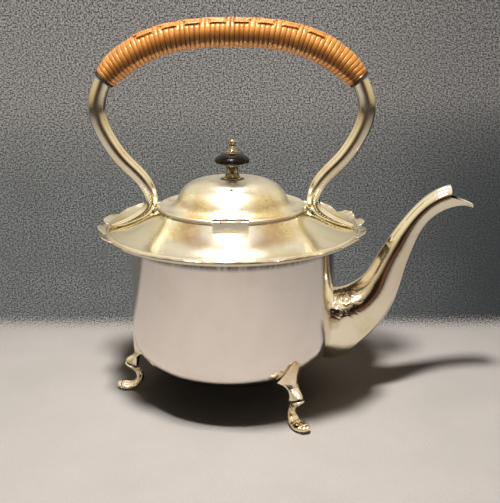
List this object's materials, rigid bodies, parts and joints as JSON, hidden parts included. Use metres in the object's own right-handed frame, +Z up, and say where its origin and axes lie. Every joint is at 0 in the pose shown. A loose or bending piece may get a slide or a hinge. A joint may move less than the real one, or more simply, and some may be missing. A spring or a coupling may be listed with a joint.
{
  "type": "tea kettle with hinged lid",
  "caption": "Round plated tea kettle on scroll feet, with a hinged domed lid, ebony finial, leaf-edged shoulder, swan-neck spout and a cane-wrapped overhead handle.",
  "frame": {"origin": "on the table under the middle of the kettle's length and width; the bowl's axis is the line x = -31.65 mm, y = 0", "axes": "+Z up from the table, +X the way the spout points, -Y the side of the lid's hinge"},
  "size_m": [0.2381, 0.164, 0.2383],
  "materials": {
    "silver_plate": "polished silver plate over nickel silver, lightly worn",
    "cast_silver": "polished cast mounts, silver plated",
    "ebony": "polished ebony",
    "cane": "split cane, varnished",
    "thread": "waxed black thread",
    "pin_steel": "drawn wire"
  },
  "bodies": {
    "kettle": {"bowl": "silver_plate", "shoulder": "silver_plate", "leaf_border": "cast_silver", "mouth_collar": "silver_plate", "spout": "silver_plate", "handle_arm_left": "cast_silver", "handle_arm_right": "cast_silver", "grip_bar": "cast_silver", "cane_wrap": "cane", "cane_strand": "cane", "binding_left": "thread", "binding_right": "thread", "hinge_seat": "cast_silver", "hinge_pin": "pin_steel", "foot_scroll_left": "cast_silver", "foot_knee_left": "cast_silver", "foot_scroll_front": "cast_silver", "foot_knee_front": "cast_silver", "foot_scroll_back": "cast_silver", "foot_knee_back": "cast_silver"},
    "lid": {"lid_cover": "silver_plate", "lid_bezel": "silver_plate", "hinge_leaf": "cast_silver", "finial_stem": "cast_silver", "finial_disc": "cast_silver", "finial_button": "ebony", "finial_cap": "cast_silver", "finial_stud": "pin_steel", "finial_nut": "pin_steel"}
  },
  "joints": [
    {"name": "lid_hinge", "type": "hinge", "parent": "kettle", "child": "lid", "pos_m": [-0.03165, -0.0473, 0.1273], "axis": [1, 0, 0], "range_deg": [0, 105]}
  ]
}
